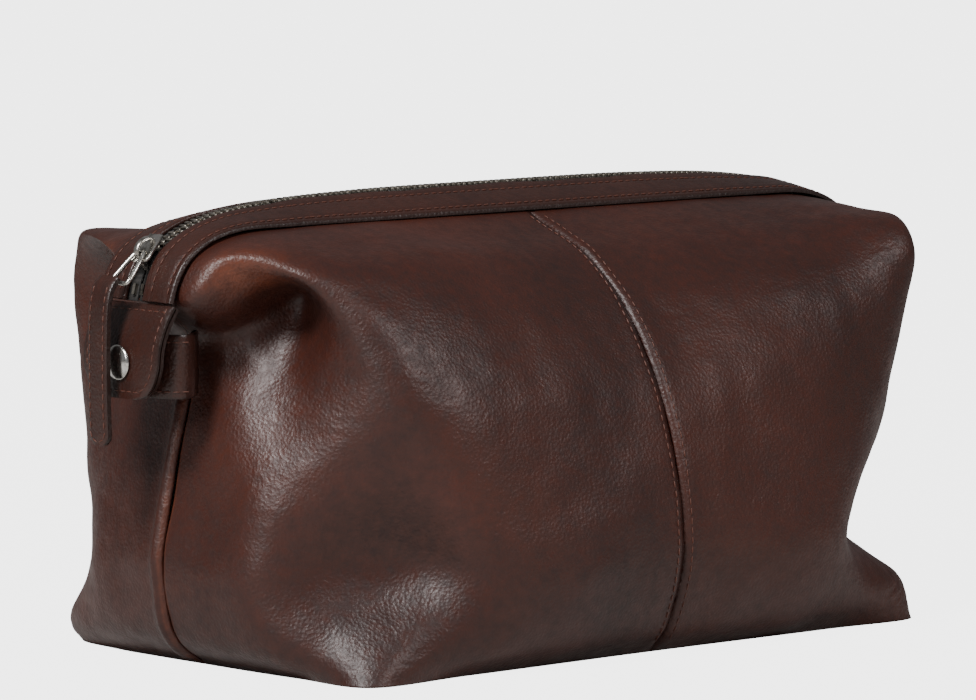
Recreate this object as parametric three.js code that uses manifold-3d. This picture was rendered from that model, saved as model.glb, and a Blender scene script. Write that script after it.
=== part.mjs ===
// Leather wash bag with a zipped top, a snap tab and a strap loop at each end.
// Millimetres. Origin at the centre of the base's underside, +Z up, +X along the
// length, and the front faces -Y. The zip slider rests at the -X end.

import * as THREE from 'three';
import * as BufferGeometryUtils from 'three/addons/utils/BufferGeometryUtils.js';
import Module from 'manifold-3d';

const wasm = await Module();
wasm.setup();

// ---- Driving dimensions -------------------------------------------------

const LEATHER = 2.0; // panel leather
const GAP = 0.3; // clearance between pieces that touch
const SEAM = 0.15; // half the gap at a panel seam

const BAND_HALF = 20; // half the width of the leather band that holds the zip
const STRIP = { inner: 5.4, top: 1.2, bottom: -0.6 };
const TAPE = { inner: 3.3, outer: 12, top: -0.9, bottom: -1.5 };
const TEETH = { half: 3.0, top: 0.2, bottom: -2.6 };
const MOUTH = { left: -105, right: 88, clear: 0.5 }; // where the band can fold open

const SLIDER = { x: -161.5, tilt: 46, length: 13, half: 4.8, plate: 1.3 };
const SLIDER_OPEN_X = 99; // where the slider stops when the zip is open

const TAB = { half: 20.5, layer: 1.7, corner: 12 };
const SNAP = { z: 110, radius: 6.25, dome: 1.8 };
const STRAP = { low: 97.5, high: 120, thick: 2.0 };
const PULL = { y: 4, half: 5.2, thick: 3.7 };

const BASE = { panel: 2.0, board: 2.0, lining: 0.8 };

// ---- Shape of a quarter of the shell ------------------------------------
// Each profile runs from the base up to the zip band. The corner one is
// dented at a third of its height and stands out again as an ear at the top.
// This is the front left quarter; the other three are its mirror images.

const PROFILES = {
  frontCentre: [
    [0, -83, 0], [0, -93, 9], [0, -101.3, 32], [0, -99.3, 62], [0, -88, 97],
    [0, -72, 122], [0, -62, 132.5], [0, -48, 143.5], [0, -33, 150], [0, -17, 154.6],
  ],
  frontRidge: [
    [-88, -84, 0], [-88, -92, 9], [-84, -97, 32], [-89, -95, 62], [-95, -88, 98],
    [-98, -79, 125], [-98, -71, 135.5], [-98, -56, 144.5], [-98, -38, 150.5], [-97, -17, 154.6],
  ],
  corner: [
    [-134, -83, 0], [-127, -78, 14], [-110, -71, 38], [-119, -74, 68], [-131, -77, 100],
    [-138, -79, 127], [-139, -79, 138], [-138, -73, 147], [-138, -46, 150], [-146, -18, 150],
  ],
  endRidge: [
    [-137, -50, 0], [-147, -50, 10], [-151, -46, 34], [-147, -45, 63], [-140, -45, 95],
    [-133, -43, 121], [-137, -43, 137], [-148, -39, 145], [-156, -30, 143], [-162, -19, 133],
  ],
  endCentre: [
    [-138, 0, 0], [-152, 0, 11], [-157.3, 0, 36], [-152, 0, 66], [-146, 0, 90],
    [-143, 0, 106], [-144, 0, 116], [-150, 0, 123], [-157, 0, 126.5], [-163.5, 0, 128.5],
  ],
};
const COLUMNS = 14; // samples round a quarter
const ROWS = 12; // samples from the base to the band

const mirrorX = (p) => new THREE.Vector3(-p.x, p.y, p.z);
const mirrorY = (p) => new THREE.Vector3(p.x, -p.y, p.z);

function through(points) {
  return new THREE.CatmullRomCurve3(points, false, 'centripetal');
}

const shellRows = PROFILES.corner.map((_, level) => {
  const at = Object.values(PROFILES).map((profile) => new THREE.Vector3(...profile[level]));
  // The mirrored neighbours make the shell cross its centre seams squarely.
  return through([mirrorX(at[1]), ...at, mirrorY(at[3])]);
});

// A point of the shell: u runs from the front centre to the end centre, v upwards.
function shellPoint(u, v) {
  const column = shellRows.map((row) => row.getPoint((1 + 4 * u) / 6));
  return through(column).getPoint(v);
}

function inwardNormal(u, v) {
  const step = 0.004;
  const alongU = shellPoint(u + step, v).sub(shellPoint(u - step, v));
  const alongV = shellPoint(u, Math.min(v + step, 1)).sub(shellPoint(u, Math.max(v - step, 0)));
  return alongU.cross(alongV).normalize();
}

// Grid of points at a depth inside the shell's outer face.
function shellGrid(depth) {
  const grid = [];
  for (let j = 0; j <= ROWS; j += 1) {
    const row = [];
    for (let i = 0; i <= COLUMNS; i += 1) {
      const u = i / COLUMNS;
      const v = j / ROWS;
      const point = shellPoint(u, v).addScaledVector(inwardNormal(u, v), depth);
      point.z = Math.max(point.z, 0);
      point.x = Math.min(point.x, -SEAM);
      point.y = Math.min(point.y, -SEAM);
      row.push(point);
    }
    grid.push(row);
  }
  return grid;
}

// ---- Mesh helpers -------------------------------------------------------

function body(points, triangles) {
  const corners = triangles.map((t) => t.map((k) => points[k]));
  let volume = 0;
  for (const [a, b, c] of corners) {
    volume += a.dot(b.clone().cross(c));
  }
  const facing = volume < 0 ? corners.map(([a, b, c]) => [a, c, b]) : corners;
  const geometry = new THREE.BufferGeometry().setFromPoints(facing.flat());
  geometry.computeVertexNormals();
  return geometry;
}

// Skin over a row of rings with equal point counts, closed by a cap at each end.
function loft(rings) {
  const count = rings[0].length;
  const points = rings.flat();
  const triangles = [];
  for (let r = 0; r < rings.length - 1; r += 1) {
    for (let k = 0; k < count; k += 1) {
      const a = r * count + k;
      const b = r * count + ((k + 1) % count);
      triangles.push([a, b, b + count], [a, b + count, a + count]);
    }
  }
  for (const end of [0, rings.length - 1]) {
    const middle = new THREE.Vector3();
    rings[end].forEach((p) => middle.add(p));
    points.push(middle.divideScalar(count));
    for (let k = 0; k < count; k += 1) {
      const a = end * count + k;
      const b = end * count + ((k + 1) % count);
      triangles.push(end === 0 ? [b, a, points.length - 1] : [a, b, points.length - 1]);
    }
  }
  return body(points, triangles);
}

// Sheet between two equal grids, with a rim round its four sides.
function sheet(outer, inner) {
  const rows = outer.length;
  const columns = outer[0].length;
  const points = [...outer.flat(), ...inner.flat()];
  const front = (j, i) => j * columns + i;
  const back = (j, i) => rows * columns + front(j, i);
  const triangles = [];
  const quad = (a, b, c, d) => triangles.push([a, b, c], [a, c, d]);
  for (let j = 0; j < rows - 1; j += 1) {
    for (let i = 0; i < columns - 1; i += 1) {
      quad(front(j, i), front(j, i + 1), front(j + 1, i + 1), front(j + 1, i));
      quad(back(j, i), back(j + 1, i), back(j + 1, i + 1), back(j, i + 1));
    }
    const last = columns - 1;
    quad(front(j, 0), front(j + 1, 0), back(j + 1, 0), back(j, 0));
    quad(front(j, last), back(j, last), back(j + 1, last), front(j + 1, last));
  }
  for (let i = 0; i < columns - 1; i += 1) {
    const last = rows - 1;
    quad(front(0, i), back(0, i), back(0, i + 1), front(0, i + 1));
    quad(front(last, i), front(last, i + 1), back(last, i + 1), back(last, i));
  }
  return body(points, triangles);
}

const group = new THREE.Group();

const FINISH = {
  leather: { color: 0x4a2a20, roughness: 0.42, metalness: 0 },
  backing: { color: 0x3a241c, roughness: 0.6, metalness: 0 },
  board: { color: 0x2a2624, roughness: 0.9, metalness: 0 },
  lining: { color: 0x3b3128, roughness: 0.85, metalness: 0 },
  tape: { color: 0x17130f, roughness: 0.8, metalness: 0 },
  zipMetal: { color: 0x9a968e, roughness: 0.35, metalness: 1 },
  snapMetal: { color: 0xc9c7c2, roughness: 0.22, metalness: 1 },
};

function add(name, geometry, finish, parent = group) {
  const mesh = new THREE.Mesh(geometry, new THREE.MeshStandardMaterial(FINISH[finish]));
  mesh.name = name;
  parent.add(mesh);
  return mesh;
}

// ---- Shell: four panels, base, board and lining -------------------------

const outerGrid = shellGrid(0);
const innerGrid = shellGrid(LEATHER);

const QUARTERS = [
  ['front_left_panel', 1, 1],
  ['front_right_panel', -1, 1],
  ['back_left_panel', 1, -1],
  ['back_right_panel', -1, -1],
];
for (const [name, sx, sy] of QUARTERS) {
  const flip = (grid) => grid.map((row) => row.map((p) => new THREE.Vector3(sx * p.x, sy * p.y, p.z)));
  add(name, sheet(flip(outerGrid), flip(innerGrid)), 'leather');
}

// Flat plate whose outline follows the foot of the walls, drawn in by an inset.
function footPlate(inset, radius, bottom, thick) {
  const x = 134 - inset;
  const y = 83 - inset;
  const shape = new THREE.Shape();
  shape.moveTo(-x + radius, -y);
  shape.lineTo(x - radius, -y);
  shape.quadraticCurveTo(x, -y, x, -y + radius);
  shape.lineTo(x, y - radius);
  shape.quadraticCurveTo(x, y, x - radius, y);
  shape.lineTo(-x + radius, y);
  shape.quadraticCurveTo(-x, y, -x, y - radius);
  shape.lineTo(-x, -y + radius);
  shape.quadraticCurveTo(-x, -y, -x + radius, -y);
  const geometry = new THREE.ExtrudeGeometry(shape, { depth: thick, bevelEnabled: false, curveSegments: 5 });
  return geometry.translate(0, 0, bottom);
}

add('base_panel', footPlate(3.2, 8, 0, BASE.panel), 'leather');
add('base_board', footPlate(6, 12, BASE.panel + GAP, BASE.board), 'board');

// The lining is a thin bag one step inside the panels.
function liningRing(level, depth, lowest) {
  const quarter = [];
  for (let i = 0; i <= COLUMNS; i += 1) {
    const u = i / COLUMNS;
    const v = level / ROWS;
    const point = shellPoint(u, v).addScaledVector(inwardNormal(u, v), depth);
    point.z = Math.max(point.z, lowest);
    quarter.push(point);
  }
  const turned = quarter.slice(0, -1).reverse();
  const frontLeft = quarter;
  const backLeft = turned.map(mirrorY);
  const backRight = quarter.slice(1).map((p) => mirrorX(mirrorY(p)));
  const frontRight = turned.slice(0, -1).map(mirrorX);
  return [...frontLeft, ...backLeft, ...backRight, ...frontRight];
}

function lining() {
  const outside = LEATHER + 2.6;
  const inside = outside + BASE.lining;
  const floor = BASE.panel + GAP + BASE.board + GAP;
  const first = 2;
  const last = ROWS - 5;
  const drawnIn = (ring, z) => ring.map((p) => new THREE.Vector3(p.x * 0.84, p.y * 0.84, z));
  const outer = [];
  const inner = [];
  for (let level = first; level <= last; level += 1) {
    outer.push(liningRing(level, outside, floor + 1));
    inner.push(liningRing(level, inside, floor + 2));
  }
  const rings = [
    drawnIn(outer[0], floor),
    ...outer,
    ...inner.reverse(),
    drawnIn(inner[inner.length - 1], floor + BASE.lining),
  ];
  return loft(rings);
}
add('lining', lining(), 'lining');

// ---- Zip band -----------------------------------------------------------
// Two lines side by side give the band its shape: the zip itself at y = 0 and
// the outer edge of the leather strips. Both run over the top and down the ends.

// Line over the bag from its left half, which ends in the middle of the top.
function overTheTop(left) {
  const right = left.slice(0, -1).reverse().map(([x, z]) => [-x, z]);
  return through([...left, ...right].map(([x, z]) => new THREE.Vector3(x, 0, z)));
}
const zipLine = overTheTop([
  [-168.5, 131], [-166, 139.5], [-161.5, 147], [-152, 154], [-138, 159.3],
  [-114, 163.2], [-70, 165.4], [0, 165.8],
]);
const edgeLine = overTheTop([
  [-168.5, 131], [-165.8, 138.5], [-160.8, 145.6], [-151.5, 151.6], [-138, 155],
  [-112, 155.6], [-70, 155.6], [0, 155.6],
]);

// Station of the zip line, from 0 at the left end to 1, where it passes over x.
function stationAt(x) {
  let low = 0;
  let high = 1;
  for (let k = 0; k < 40; k += 1) {
    const middle = (low + high) / 2;
    if (zipLine.getPoint(middle).x < x) {
      low = middle;
    } else {
      high = middle;
    }
  }
  return low;
}

// Point of the band at a station, a distance y from the zip and a height over it.
function bandPoint(t, y, height) {
  const point = zipLine.getPoint(t).lerp(edgeLine.getPoint(t), Math.abs(y) / BAND_HALF);
  const along = zipLine.getTangent(t);
  point.x -= along.z * height;
  point.z += along.x * height;
  point.y = y;
  return point;
}

function ribbon(from, to, steps, inner, outer, top, bottom) {
  const rings = [];
  for (let k = 0; k <= steps; k += 1) {
    const t = from + ((to - from) * k) / steps;
    rings.push([
      bandPoint(t, inner, bottom), bandPoint(t, outer, bottom),
      bandPoint(t, outer, top), bandPoint(t, inner, top),
    ]);
  }
  return loft(rings);
}

const stretches = {
  left: [0.004, stationAt(MOUTH.left - MOUTH.clear), 15],
  mouth: [stationAt(MOUTH.left + MOUTH.clear), stationAt(MOUTH.right - MOUTH.clear), 12],
  right: [stationAt(MOUTH.right + MOUTH.clear), 0.996, 15],
};
for (const [side, sign] of [['front', -1], ['back', 1]]) {
  for (const [part, [from, to, steps]] of Object.entries(stretches)) {
    const name = part === 'mouth' ? side : `${part}_end_${side}`;
    const strip = ribbon(from, to, steps, sign * STRIP.inner, sign * BAND_HALF, STRIP.top, STRIP.bottom);
    const tape = ribbon(from, to, steps, sign * TAPE.inner, sign * TAPE.outer, TAPE.top, TAPE.bottom);
    add(`${name}_strip`, strip, 'leather');
    add(`${name}_tape`, tape, 'tape');
  }
}

// The chain of teeth stops short of the slider at both ends of its travel.
const pastSlider = SLIDER.length / 2 + 1;
const chain = {
  left_end_teeth: [stationAt(SLIDER.x + 5.8), stretches.left[1], 9, -TEETH.half, TEETH.half],
  front_teeth: [...stretches.mouth, -TEETH.half, -SEAM],
  back_teeth: [...stretches.mouth, SEAM, TEETH.half],
  right_end_teeth: [stationAt(SLIDER_OPEN_X + pastSlider), stationAt(157), 8, -TEETH.half, TEETH.half],
};
for (const [name, [from, to, steps, inner, outer]] of Object.entries(chain)) {
  add(name, ribbon(from, to, steps, inner, outer, TEETH.top, TEETH.bottom), 'zipMetal');
}

const stopFrom = stationAt(SLIDER.x - 6.4);
const stopTo = stationAt(SLIDER.x - 5.4);
const endStopFrom = stationAt(157.6);
const endStopTo = stationAt(159.4);
add('front_top_stop', ribbon(stopFrom, stopTo, 1, -3, -1.6, 0.4, -2.4), 'zipMetal');
add('back_top_stop', ribbon(stopFrom, stopTo, 1, 1.6, 3, 0.4, -2.4), 'zipMetal');
add('bottom_stop', ribbon(endStopFrom, endStopTo, 1, -3, 3, 0.5, -2.5), 'zipMetal');

// ---- Joining with manifold ----------------------------------------------

function solid(geometry) {
  const bare = geometry.clone();
  bare.deleteAttribute('normal');
  bare.deleteAttribute('uv');
  const merged = BufferGeometryUtils.mergeVertices(bare, 1e-4);
  return new wasm.Manifold(new wasm.Mesh({
    numProp: 3,
    vertProperties: new Float32Array(merged.attributes.position.array),
    triVerts: new Uint32Array(merged.index.array),
  }));
}

function joined(geometries) {
  const whole = geometries.map(solid).reduce((sum, part) => sum.add(part));
  const mesh = whole.getMesh();
  const geometry = new THREE.BufferGeometry();
  geometry.setAttribute('position', new THREE.BufferAttribute(mesh.vertProperties, 3));
  geometry.setIndex(new THREE.BufferAttribute(mesh.triVerts, 1));
  geometry.computeVertexNormals();
  return geometry;
}

function box(low, high) {
  const size = high.map((value, k) => value - low[k]);
  const middle = high.map((value, k) => (value + low[k]) / 2);
  return new THREE.BoxGeometry(...size).translate(...middle);
}

// ---- Slider, ring and leather pull --------------------------------------
// The slider is two plates and a post between the open tapes. Its own X runs
// along the zip and its own Z points away from the bag.

const slider = new THREE.Group();
const seat = zipLine.getPoint(stationAt(SLIDER.x));
slider.position.copy(seat);
slider.rotation.y = THREE.MathUtils.degToRad(-SLIDER.tilt);
group.add(slider);

const noseX = -SLIDER.length / 2;
const plateTop = { low: 1.4, high: 1.4 + SLIDER.plate };
const plateBottom = { low: -3.8 - SLIDER.plate, high: -3.8 };
add('slider_body', joined([
  box([noseX, -SLIDER.half, plateTop.low], [-noseX, SLIDER.half, plateTop.high]),
  box([noseX, -SLIDER.half, plateBottom.low], [-noseX, SLIDER.half, plateBottom.high]),
  box([noseX + 0.6, -1.2, plateBottom.low + 0.5], [noseX + 2.8, 1.2, plateTop.high - 0.5]),
]), 'zipMetal', slider);

// A low arch over the upper plate that holds the ring.
const archFoot = plateTop.high + GAP;
add('slider_bridge', joined([
  box([-5, -1.3, archFoot], [-3.4, 1.3, archFoot + 3.4]),
  box([2.6, -1.3, archFoot], [4.2, 1.3, archFoot + 3.4]),
  box([-5, -1.3, archFoot + 2.4], [4.2, 1.3, archFoot + 3.8]),
]), 'zipMetal', slider);

// The ring is a long D that hangs from the bridge and holds the leather pull.
const RING = { top: [-166.1, 148.3], bottom: [-177.4, 136.2], half: 4.4, wire: 0.8 };
function ringGeometry() {
  const [x0, z0] = RING.top;
  const [x1, z1] = RING.bottom;
  const at = (k, y) => [x0 + (x1 - x0) * k, y, z0 + (z1 - z0) * k];
  const outline = [
    at(0, -1.9), at(0, 1.9), at(0.35, 3.4), at(0.9, RING.half), at(1, RING.half - 1),
    at(1, -RING.half + 1), at(0.9, -RING.half), at(0.35, -3.4),
  ];
  const rings = [];
  const path = through(outline.map((p) => new THREE.Vector3(...p)));
  path.closed = true;
  const steps = 28;
  const face = new THREE.Vector3(z1 - z0, 0, x0 - x1).normalize();
  for (let k = 0; k < steps; k += 1) {
    const centre = path.getPoint(k / steps);
    const side = path.getTangent(k / steps).cross(face).normalize();
    const section = [];
    for (let a = 0; a < 6; a += 1) {
      const angle = (a / 6) * Math.PI * 2;
      section.push(centre.clone()
        .addScaledVector(side, RING.wire * Math.cos(angle))
        .addScaledVector(face, RING.wire * Math.sin(angle)));
    }
    rings.push(section);
  }
  return closedLoft(rings);
}

// Skin over rings that come back to the first one, as on a ring of wire.
function closedLoft(rings) {
  const count = rings[0].length;
  const triangles = [];
  for (let r = 0; r < rings.length; r += 1) {
    const next = (r + 1) % rings.length;
    for (let k = 0; k < count; k += 1) {
      const side = (k + 1) % count;
      const a = r * count;
      const b = next * count;
      triangles.push([a + k, a + side, b + side], [a + k, b + side, b + k]);
    }
  }
  return body(rings.flat(), triangles);
}
add('pull_ring', ringGeometry(), 'zipMetal');

// Flat piece of leather that follows a line in the XZ plane, with its own half
// width at each step. The line is its outer face; thickness goes inwards.
function hangingPiece(line, halfWidth, centreY, outer, thick, steps) {
  const path = through(line.map(([x, z]) => new THREE.Vector3(x, 0, z)));
  const rings = [];
  for (let k = 0; k <= steps; k += 1) {
    const t = k / steps;
    const along = path.getTangent(t);
    const inward = new THREE.Vector3(-along.z, 0, along.x);
    const face = path.getPoint(t).addScaledVector(inward, outer);
    const back = face.clone().addScaledVector(inward, thick);
    const half = halfWidth(t);
    const at = (p, y) => new THREE.Vector3(p.x, centreY + y, p.z);
    rings.push([at(face, -half), at(face, half), at(back, half), at(back, -half)]);
  }
  return loft(rings);
}

const roundedEnd = (half, corner, length) => (t) => {
  const left = length * (1 - t);
  const missing = Math.max(corner - left, 0);
  return half - corner + Math.sqrt(corner * corner - missing * missing) * 0.995;
};

const pullLine = [[-180.2, 134.7], [-181.6, 128], [-182.2, 116], [-182.4, 98], [-181.8, 81]];
const pullWidth = roundedEnd(PULL.half, 2.5, 57);
const pullGeometry = hangingPiece(pullLine, pullWidth, PULL.y, 0, PULL.thick, 16);
add('leather_pull', pullGeometry, 'leather');

// ---- End tabs, snaps and strap loops ------------------------------------
// Everything is drawn at the left end; the right end is its mirror image.

// Copy of a geometry on one side, with every face turned outwards.
function atEnd(geometry, side) {
  const bare = geometry.index ? geometry.toNonIndexed() : geometry.clone();
  const place = bare.scale(side, 1, 1).attributes.position;
  const points = [];
  for (let k = 0; k < place.count; k += 1) {
    points.push(new THREE.Vector3().fromBufferAttribute(place, k));
  }
  const count = points.length / 3;
  const triangles = Array.from({ length: count }, (_, k) => [3 * k, 3 * k + 1, 3 * k + 2]);
  return body(points, triangles);
}

function bothEnds(name, geometry, finish) {
  add(`left_${name}`, atEnd(geometry, 1), finish);
  add(`right_${name}`, atEnd(geometry, -1), finish);
}

const tabLine = [[-168.6, 130.4], [-172.4, 124.5], [-175.6, 116], [-176.4, 108], [-176.2, 97.4]];
const tabWidth = roundedEnd(TAB.half, TAB.corner, 36);
bothEnds('tab', hangingPiece(tabLine, tabWidth, 0, 0, TAB.layer, 14), 'leather');
bothEnds('tab_backing', hangingPiece(tabLine, tabWidth, 0, TAB.layer + GAP, 1.4, 14), 'backing');

// Lathe about the snap's axis, which points out of the end of the bag.
function turned(outline, x) {
  const points = outline.map(([radius, height]) => new THREE.Vector2(radius, height));
  return new THREE.LatheGeometry(points, 20).rotateZ(Math.PI / 2).translate(x, 0, SNAP.z);
}
bothEnds('snap_cap', turned([
  [0, 0], [SNAP.radius - 0.4, 0], [SNAP.radius, 0.5], [SNAP.radius - 0.8, 1.2],
  [3.4, SNAP.dome - 0.1], [0, SNAP.dome],
], -176.75), 'snapMetal');
bothEnds('snap_socket', turned([
  [0, 0], [5.6, 0], [5.6, -1.2], [4.2, -1.9], [2.7, -1.9], [2.7, -0.8], [0, -0.8],
], -171.9), 'snapMetal');
bothEnds('snap_stud', turned([
  [0, 0], [4.6, 0], [4.6, 0.3], [2.2, 0.4], [2.2, 1], [0, 1.2],
], -169.5), 'snapMetal');

// The strap is a narrow U in plan whose ends run into the fold behind the tab.
const strapLine = new THREE.CatmullRomCurve3([
  [-147.5, -8], [-152, -12.5], [-158, -18], [-164, -18.5], [-168.4, -12.5], [-169.1, 0],
  [-168.4, 12.5], [-164, 18.5], [-158, 18], [-152, 12.5], [-147.5, 8],
].map(([x, y]) => new THREE.Vector3(x, y, 0)), false, 'centripetal');
function strapGeometry() {
  const rings = [];
  const steps = 24;
  for (let k = 0; k <= steps; k += 1) {
    const outer = strapLine.getPoint(k / steps);
    const along = strapLine.getTangent(k / steps);
    const inner = outer.clone().addScaledVector(new THREE.Vector3(along.y, -along.x, 0), STRAP.thick);
    const at = (p, z) => new THREE.Vector3(p.x, p.y, z);
    rings.push([
      at(outer, STRAP.low), at(outer, STRAP.high), at(inner, STRAP.high), at(inner, STRAP.low),
    ]);
  }
  return loft(rings);
}
bothEnds('strap', strapGeometry(), 'leather');
bothEnds('stud_rivet', turned([[0, 0], [4.2, 0], [4.2, -0.6], [0, -0.9]], -166.7), 'snapMetal');

export default group;
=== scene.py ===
from math import cos, pi, radians, sin, sqrt

import bmesh
import bpy
import numpy as np
from mathutils import Matrix, Vector, noise


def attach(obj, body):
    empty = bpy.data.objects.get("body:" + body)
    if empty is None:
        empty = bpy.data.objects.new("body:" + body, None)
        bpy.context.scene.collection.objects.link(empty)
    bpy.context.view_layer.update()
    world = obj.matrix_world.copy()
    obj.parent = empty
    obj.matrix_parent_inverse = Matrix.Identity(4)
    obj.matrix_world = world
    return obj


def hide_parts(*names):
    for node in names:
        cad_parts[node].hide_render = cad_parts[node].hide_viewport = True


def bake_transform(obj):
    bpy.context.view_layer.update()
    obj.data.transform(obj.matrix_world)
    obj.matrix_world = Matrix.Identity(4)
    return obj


# Leather wash bag: four panels of dark pull-up leather on a flat base, a zipped
# band over the top, and a snap tab and a strap loop at each end. Shapes are
# drawn in millimetres, X along the zip, and the front faces -Y.
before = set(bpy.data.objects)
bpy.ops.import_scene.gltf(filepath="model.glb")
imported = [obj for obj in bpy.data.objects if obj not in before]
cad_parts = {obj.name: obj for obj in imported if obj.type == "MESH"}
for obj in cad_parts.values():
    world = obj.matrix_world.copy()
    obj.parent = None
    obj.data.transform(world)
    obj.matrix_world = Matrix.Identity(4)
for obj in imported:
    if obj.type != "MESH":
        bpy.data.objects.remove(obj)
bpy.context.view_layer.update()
MM = 0.001

# ---- Camera -------------------------------------------------------------
# A long lens stands to the front left, a little above the bag, so its lines
# stay nearly parallel and the left end and the front are both seen.
CAMERA_TURN = radians(-42.1)
CAMERA_RISE = radians(6.2)
CAMERA_AWAY = 2.5
away = Vector((sin(CAMERA_TURN) * cos(CAMERA_RISE), -cos(CAMERA_TURN) * cos(CAMERA_RISE),
               sin(CAMERA_RISE)))
camera_data = bpy.data.cameras.new("camera")
camera_data.lens = 251.6
camera_data.shift_x = -0.0064
camera_data.shift_y = 0.0772
camera = bpy.data.objects.new("camera", camera_data)
camera.location = Vector((0, 0, 0.075)) + away * CAMERA_AWAY
camera.rotation_euler = away.to_track_quat("Z", "Y").to_euler()
bpy.context.collection.objects.link(camera)
bpy.context.scene.camera = camera


# ---- Studio -------------------------------------------------------------
# The bag stands on back-lit white paper in a white room. Three soft boxes light
# it: the key from the upper left, a weak one from the left and one in front.
def srgb(code):
    """Linear colour from an sRGB hex value."""
    parts = [int(code[k:k + 2], 16) / 255 for k in (1, 3, 5)]
    linear = [c / 12.92 if c <= 0.04045 else ((c + 0.055) / 1.055) ** 2.4 for c in parts]
    return (*linear, 1.0)


def node(material, kind, links=(), **settings):
    """Adds a node. Settings are attributes, or sockets where the name starts with in_."""
    made = material.node_tree.nodes.new(kind)
    for key, value in settings.items():
        if key.startswith("in_"):
            name = key[3:].replace("_", " ")
            socket = made.inputs[int(name)] if name.isdigit() else made.inputs[name]
            socket.default_value = value
        else:
            setattr(made, key, value)
    for socket, source in dict(links).items():
        material.node_tree.links.new(source, made.inputs[socket])
    return made


def new_material(name):
    """Empty node material, named for a real finish."""
    material = bpy.data.materials.new(name)
    material.use_nodes = True
    material.node_tree.nodes.clear()
    return material


def finish_material(material, shader):
    """Joins a finished shader to the material's surface."""
    output = node(material, "ShaderNodeOutputMaterial")
    material.node_tree.links.new(shader.outputs[0], output.inputs["Surface"])
    return material


def mesh_object(name, points, faces, material):
    """Smooth-shaded mesh of points in metres."""
    data = bpy.data.meshes.new(name)
    data.from_pydata([tuple(p) for p in points], [], [tuple(f) for f in faces])
    data.materials.append(material)
    data.polygons.foreach_set("use_smooth", [True] * len(data.polygons))
    data.update()
    made = bpy.data.objects.new(name, data)
    bpy.context.collection.objects.link(made)
    return made


# Matt paper lit from behind: it looks white, but throws little light on the bag.
paper = new_material("back-lit white studio paper")
paper_seen = node(paper, "ShaderNodeLightPath").outputs["Is Camera Ray"]
paper_glow = node(paper, "ShaderNodeMath", {0: paper_seen}, operation="MULTIPLY", in_1=0.8).outputs[0]
paper_matt = node(paper, "ShaderNodeBsdfDiffuse", in_Color=srgb("#c9c7c4"))
paper_lit = node(paper, "ShaderNodeEmission", in_Color=srgb("#ffffff"), in_Strength=5.0)
finish_material(paper, node(paper, "ShaderNodeMixShader",
                            {0: paper_glow, 1: paper_matt.outputs[0], 2: paper_lit.outputs[0]}))
floor = mesh_object("floor", [(-6, -6, 0), (6, -6, 0), (6, 6, 0), (-6, 6, 0)], [(0, 1, 2, 3)], paper)

# The room is white where the lens sees it, and dim where the leather does.
world = bpy.data.worlds.new("studio")
world.use_nodes = True
world.node_tree.nodes.clear()
seen = node(world, "ShaderNodeLightPath").outputs["Is Camera Ray"]
backdrop = node(world, "ShaderNodeBackground", in_Color=srgb("#ffffff"), in_Strength=5.0)
ambient = node(world, "ShaderNodeBackground", in_Color=srgb("#f4f4f6"), in_Strength=0.22)
either = node(world, "ShaderNodeMixShader", {0: seen, 1: ambient.outputs[0], 2: backdrop.outputs[0]})
node(world, "ShaderNodeOutputWorld", {"Surface": either.outputs[0]})
bpy.context.scene.world = world


def soft_light(name, place, size, power):
    """Soft box turned towards the bag: its place and size in metres, its power in watts."""
    data = bpy.data.lights.new(name, "AREA")
    data.shape = "RECTANGLE"
    data.size, data.size_y = size
    data.energy = power
    lamp = bpy.data.objects.new(name, data)
    lamp.location = place
    lamp.rotation_euler = (Vector(place) - Vector((0, 0, 0.08))).to_track_quat("Z", "Y").to_euler()
    bpy.context.collection.objects.link(lamp)


soft_light("key", (-1.12, -0.3, 1.3), (0.4, 0.4), 35)
soft_light("left", (-1.8, -0.5, 0.85), (0.25, 0.4), 8)
soft_light("front", (0.4, -1.65, 1.2), (0.5, 0.4), 15)

# ---- Leather panels -----------------------------------------------------
# Four panels of 2 mm waxed pull-up leather, each half of a side and half of an
# end, sewn together at the middle of each side and end. They stand out as ears
# at the top corners and fold in over the boxed corners of the base.
LEATHER_THICK = 2.0
# Control points of the front left quarter, upwards from the base's edge.
PROFILES = [
    # front centre
    [[0, -83, 0], [0, -93, 9], [0, -101.3, 32], [0, -99.3, 62], [0, -88, 97],
     [0, -72, 122], [0, -62, 132.5], [0, -48, 143.5], [0, -33, 150], [0, -17, 154.6]],
    # swell of the front beside the corner
    [[-88, -84, 0], [-88, -92, 9], [-84, -97, 32], [-89, -95, 62], [-95, -88, 98],
     [-98, -79, 125], [-98, -71, 135.5], [-98, -56, 144.5], [-98, -38, 150.5], [-97, -17, 154.6]],
    # corner, dented low down, with the ear at the top
    [[-134, -83, 0], [-127, -78, 14], [-110, -71, 38], [-119, -74, 68], [-131, -77, 100],
     [-138, -79, 127], [-139, -79, 138], [-138, -73, 147], [-140, -46, 151], [-147, -18, 152.5]],
    # swell of the end beside the corner, hollow under the ear
    [[-137, -50, 0], [-147, -50, 10], [-151, -46, 34], [-147, -45, 63], [-140, -45, 95],
     [-133, -43, 121], [-137, -43, 137], [-148, -39, 145], [-156.5, -30, 144.5], [-164, -19, 136.5]],
    # beside the band's foot, where the end turns in behind the tab
    [[-138, -25, 0], [-150.5, -25, 10.5], [-155.5, -24, 35], [-150.5, -24, 65], [-144, -23, 92],
     [-139, -22, 113], [-141, -22, 127], [-150, -21, 134.5], [-158.5, -18, 137], [-166, -14, 132.5]],
    # end centre, drawn in behind the strap
    [[-138, 0, 0], [-152, 0, 11], [-157.3, 0, 36], [-152, 0, 66], [-146, 0, 90],
     [-143, 0, 106], [-144, 0, 116], [-150, 0, 123], [-158, 0, 127.5], [-165.5, 0, 129.5]],
]


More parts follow.
